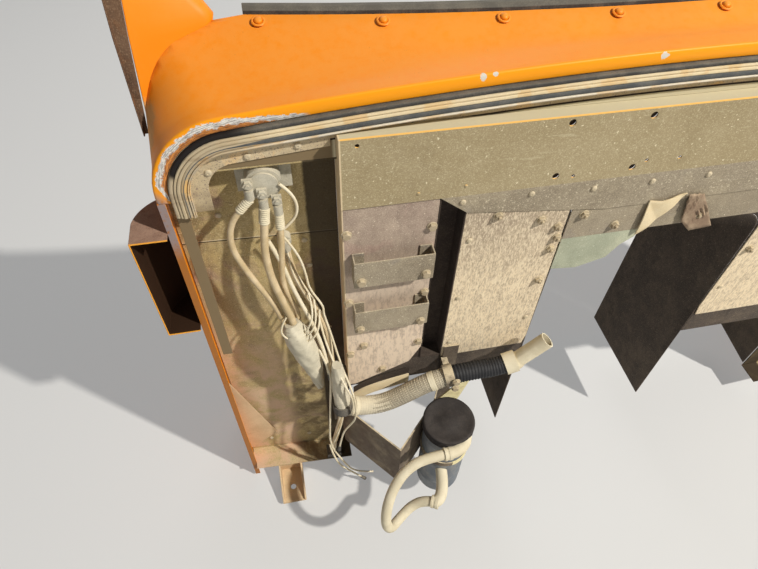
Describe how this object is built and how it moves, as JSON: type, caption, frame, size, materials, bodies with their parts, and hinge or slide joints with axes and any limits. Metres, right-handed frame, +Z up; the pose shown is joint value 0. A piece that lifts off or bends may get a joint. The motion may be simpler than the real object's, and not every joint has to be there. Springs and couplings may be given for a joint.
{
  "type": "truck cab cowl and firewall assembly",
  "caption": "Front end of a conventional truck cab: crowned cowl, hood seal, folded firewall with engine tunnel, side scoops with hinged inlet doors, cab mounts and wiring.",
  "frame": {"origin": "midway between the two cab mount holes, on the underside of the mounts' feet", "axes": "+Z up; +Y towards the cab's rear, so the truck drives towards -Y; +X towards the truck's left side"},
  "size_m": [2.2406, 0.6511, 1.48],
  "materials": {
    "cowl_paint": "chalky weathered orange enamel, scraped to bare metal at one shoulder of the lip",
    "seal_steel": "dusty tan painted steel",
    "band_paint": "dull olive paint with fine scratches",
    "firewall_paint": "matt mauve-brown paint, weathered",
    "cover_paint": "matt textured tan coating",
    "primer": "matt peach-tan paint, dusty",
    "rubber": "aged matt rubber",
    "cable_jacket": "dusty cream cable jacket",
    "moulding": "dusty dark moulded plastic",
    "insulation": "torn fibre insulation"
  },
  "bodies": {
    "cab_front": {"air_scoop_left": "cowl_paint", "air_scoop_right": "cowl_paint", "cab_mount_left": "primer", "cab_mount_right": "primer", "canister": "moulding", "canister_hose": "rubber", "conduit": "rubber", "conduit_fitting": "moulding", "connector_boot": "cable_jacket", "cover_panel_left": "cover_paint", "cover_panel_right": "cover_paint", "cover_strip": "firewall_paint", "cowl_corner_left": "cowl_paint", "cowl_corner_right": "cowl_paint", "cowl_panel": "cowl_paint", "drip_rails": "cowl_paint", "firewall_box": "band_paint", "gussets": "primer", "harness_clip": "moulding", "harness_plug": "moulding", "harness_trunk": "cable_jacket", "hinge_pillar_left": "cowl_paint", "hinge_pillar_right": "cowl_paint", "hood_seals": "rubber", "insulation_flaps": "insulation", "outer_panel_left": "firewall_paint", "outer_panel_right": "firewall_paint", "pillar_foot_left": "cowl_paint", "pillar_foot_right": "cowl_paint", "plenum_panel": "seal_steel", "power_cables": "cable_jacket", "seal_rail": "seal_steel", "side_skin_left": "cowl_paint", "side_skin_right": "cowl_paint", "slot_channels": "firewall_paint", "standoff_bracket": "primer", "step_panel_left": "firewall_paint", "step_panel_right": "firewall_paint", "strap_brackets": "cover_paint", "terminal_block": "moulding", "toe_board_left": "firewall_paint", "toe_board_right": "firewall_paint", "tunnel": "firewall_paint", "tunnel_plate": "firewall_paint", "windshield_gasket": "rubber"},
    "inlet_door_right": {"vent_door_right": "cowl_paint"},
    "inlet_door_left": {"vent_door_left": "cowl_paint"}
  },
  "joints": [
    {"name": "inlet_door_right_hinge", "type": "hinge", "parent": "cab_front", "child": "inlet_door_right", "pos_m": [-1.0424, 0.181, 0.9675], "axis": [0, 0, 1], "range_deg": [0, 60]},
    {"name": "inlet_door_left_hinge", "type": "hinge", "parent": "cab_front", "child": "inlet_door_left", "pos_m": [1.0424, 0.181, 0.9675], "axis": [0, 0, -1], "range_deg": [0, 60]}
  ]
}
